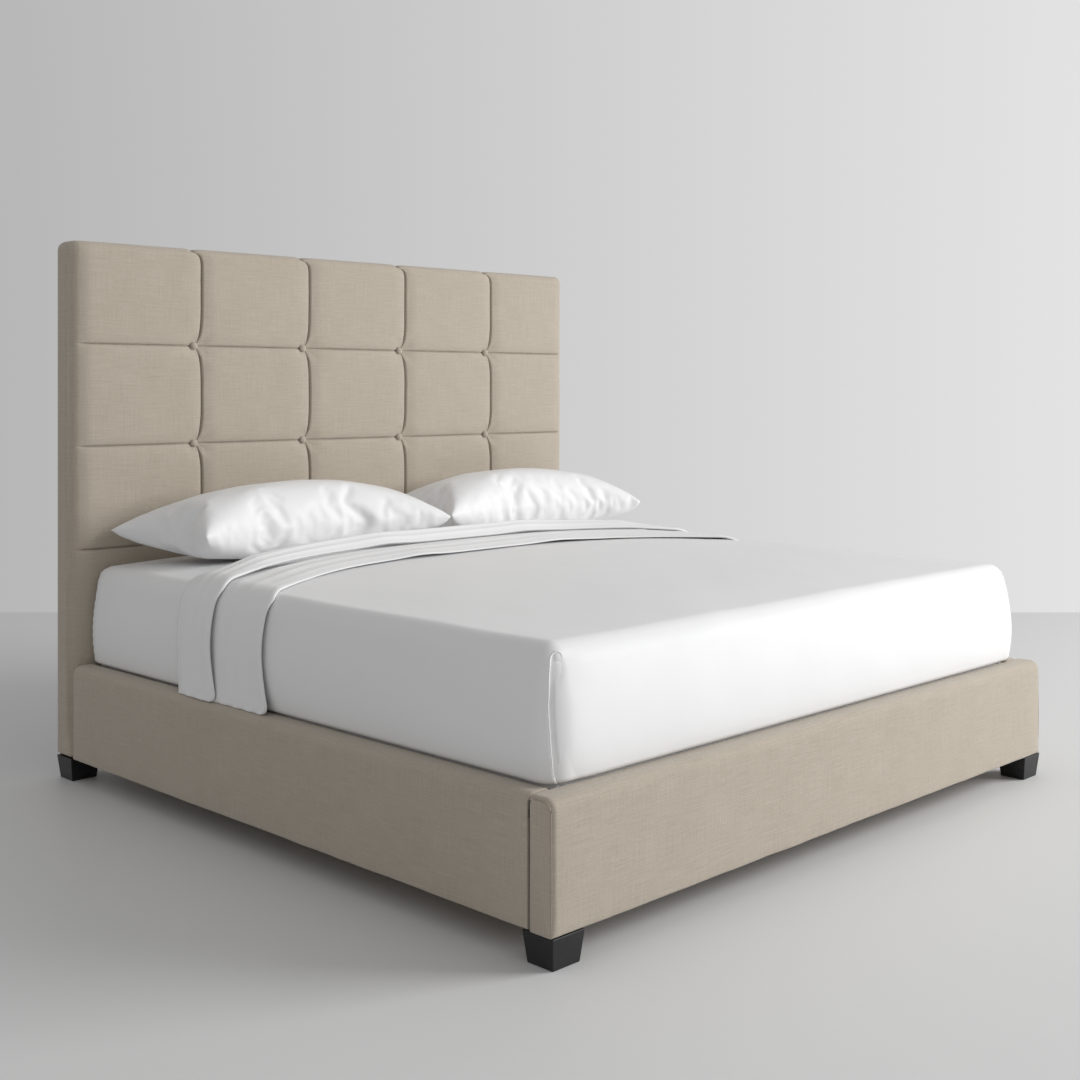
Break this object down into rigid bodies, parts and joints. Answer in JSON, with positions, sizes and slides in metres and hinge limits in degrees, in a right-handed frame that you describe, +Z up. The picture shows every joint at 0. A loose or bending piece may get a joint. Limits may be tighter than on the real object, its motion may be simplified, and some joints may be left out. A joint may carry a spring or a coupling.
{
  "type": "upholstered headboard bed",
  "caption": "King-size bed with a tall tufted linen headboard, padded rails, black block feet, slatted base, and a made-up mattress with turned-back sheet and pillows.",
  "frame": {"origin": "on the floor under the middle of the bed: the bottom centre of its bounding box", "axes": "+Z up, +Y from the foot of the bed to the headboard, +X to the right-hand side seen from the foot"},
  "size_m": [2.08, 2.238, 1.655],
  "materials": {
    "linen": "matte",
    "black_wood": "satin",
    "pine": "matte",
    "birch": "matte",
    "foam": "matte",
    "black_steel": "satin",
    "dust_cloth": "matte",
    "nylon": "satin",
    "ticking": "matte",
    "cotton": "satin"
  },
  "bodies": {
    "bed_frame": {"beam_hanger_front": "black_steel", "beam_hanger_rear": "black_steel", "centre_beam": "pine", "centre_leg_front": "black_wood", "centre_leg_rear": "black_wood", "corner_bracket_front_left": "black_steel", "corner_bracket_front_right": "black_steel", "corner_bracket_rear_left": "black_steel", "corner_bracket_rear_right": "black_steel", "foot_front_left": "black_wood", "foot_front_right": "black_wood", "foot_rear_left": "black_wood", "foot_rear_right": "black_wood", "footboard_board": "pine", "footboard_cover": "linen", "headboard_back_cloth": "dust_cloth", "headboard_bottom_rail": "pine", "headboard_cover": "linen", "headboard_face_panel": "birch", "headboard_foam": "foam", "headboard_middle_rail": "pine", "headboard_post_left": "pine", "headboard_post_right": "pine", "headboard_top_rail": "pine", "side_rail_board_left": "pine", "side_rail_board_right": "pine", "side_rail_cover_left": "linen", "side_rail_cover_right": "linen", "slat_01": "birch", "slat_02": "birch", "slat_03": "birch", "slat_04": "birch", "slat_05": "birch", "slat_06": "birch", "slat_07": "birch", "slat_08": "birch", "slat_09": "birch", "slat_10": "birch", "slat_11": "birch", "slat_ledge_left": "pine", "slat_ledge_right": "pine", "tuft_button_1_1": "linen", "tuft_button_1_2": "linen", "tuft_button_1_3": "linen", "tuft_button_1_4": "linen", "tuft_button_2_1": "linen", "tuft_button_2_2": "linen", "tuft_button_2_3": "linen", "tuft_button_2_4": "linen", "tuft_button_3_1": "linen", "tuft_button_3_2": "linen", "tuft_button_3_3": "linen", "tuft_button_3_4": "linen"},
    "mattress_set": {"mattress": "ticking", "fitted_sheet": "cotton", "top_sheet": "cotton"},
    "pillow_left": {"pillow_left": "cotton"},
    "pillow_right": {"pillow_right": "cotton"},
    "levelling_foot_front": {"levelling_foot_front": "nylon"},
    "levelling_foot_rear": {"levelling_foot_rear": "nylon"}
  },
  "joints": [
    {"name": "mattress_lift", "type": "slide", "parent": "bed_frame", "child": "mattress_set", "axis": [0, 0, 1], "range_m": [0, 0.35]},
    {"name": "pillow_left_lift", "type": "slide", "parent": "mattress_set", "child": "pillow_left", "axis": [0, 0, 1], "range_m": [0, 0.3]},
    {"name": "pillow_right_lift", "type": "slide", "parent": "mattress_set", "child": "pillow_right", "axis": [0, 0, 1], "range_m": [0, 0.3]},
    {"name": "levelling_foot_front_screw", "type": "slide", "parent": "bed_frame", "child": "levelling_foot_front", "axis": [0, 0, 1], "range_m": [0, 0.022]},
    {"name": "levelling_foot_rear_screw", "type": "slide", "parent": "bed_frame", "child": "levelling_foot_rear", "axis": [0, 0, 1], "range_m": [0, 0.022]}
  ]
}
